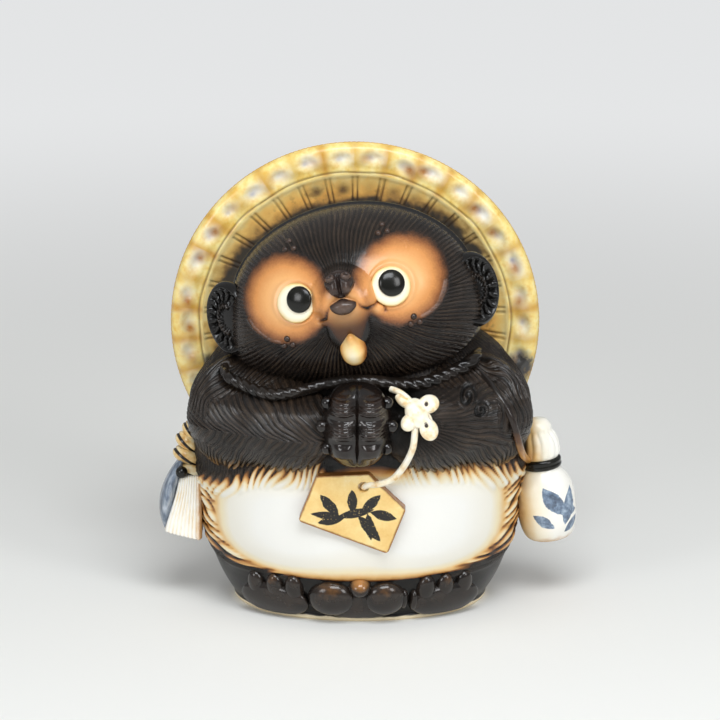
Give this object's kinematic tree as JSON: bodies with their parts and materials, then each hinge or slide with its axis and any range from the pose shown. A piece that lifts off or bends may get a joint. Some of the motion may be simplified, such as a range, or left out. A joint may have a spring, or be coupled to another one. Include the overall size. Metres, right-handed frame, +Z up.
{
  "type": "ceramic tanuki figure",
  "caption": "Round glazed stoneware tanuki sitting with clasped paws, a straw hat behind its head, a wish plaque, a sake flask and a hanging ledger.",
  "frame": {"origin": "middle of the flat foot that the figure stands on", "axes": "+Z up; the figure looks along -Y; its own left, with the flask, is +X"},
  "size_m": [0.2214, 0.1597, 0.239],
  "materials": {
    "dark_glaze": "glossy brown-black glaze over carved fur",
    "amber_glaze": "glossy cream and amber glaze, pooled in the dimples",
    "face_glaze": "brown-black glaze shaded to orange round the eyes",
    "cream_glaze": "glossy cream glaze",
    "black_glaze": "mirror-bright black glaze",
    "brown_glaze": "glossy dark brown glaze",
    "plaque_glaze": "pale yellow glaze with brush strokes",
    "white_glaze": "glossy white glaze",
    "blue_glaze": "white glaze with a blue-grey wash",
    "flask_glaze": "white glaze with blue brushed leaves",
    "bare_clay": "unglazed fired stoneware"
  },
  "bodies": {
    "root": {"body_front_shell": "dark_glaze", "body_back_shell": "dark_glaze", "head_back_shell": "dark_glaze", "left_ear": "dark_glaze", "right_ear": "dark_glaze", "left_arm": "dark_glaze", "right_arm": "dark_glaze", "left_paw": "dark_glaze", "right_paw": "dark_glaze", "left_fingertips": "dark_glaze", "right_fingertips": "dark_glaze", "left_foot": "dark_glaze", "right_foot": "dark_glaze", "money_bag": "dark_glaze", "money_bag_knob": "dark_glaze", "tail": "dark_glaze", "brow_beads": "dark_glaze", "cheek_beads": "dark_glaze", "flask_strap": "dark_glaze", "face_shell": "face_glaze", "straw_hat": "amber_glaze", "ledger_cord": "amber_glaze", "left_eye_white": "cream_glaze", "right_eye_white": "cream_glaze", "chin_tuft": "cream_glaze", "flask_cap": "cream_glaze", "left_pupil": "black_glaze", "right_pupil": "black_glaze", "flask_tie": "black_glaze", "ledger_bead": "black_glaze", "nose": "brown_glaze", "lower_lip": "brown_glaze", "wish_plaque": "plaque_glaze", "plaque_cord": "white_glaze", "cord_bow": "white_glaze", "ledger_pages": "white_glaze", "ledger_cover": "blue_glaze", "flask_body": "flask_glaze", "base_slab": "bare_clay"}
  },
  "joints": []
}
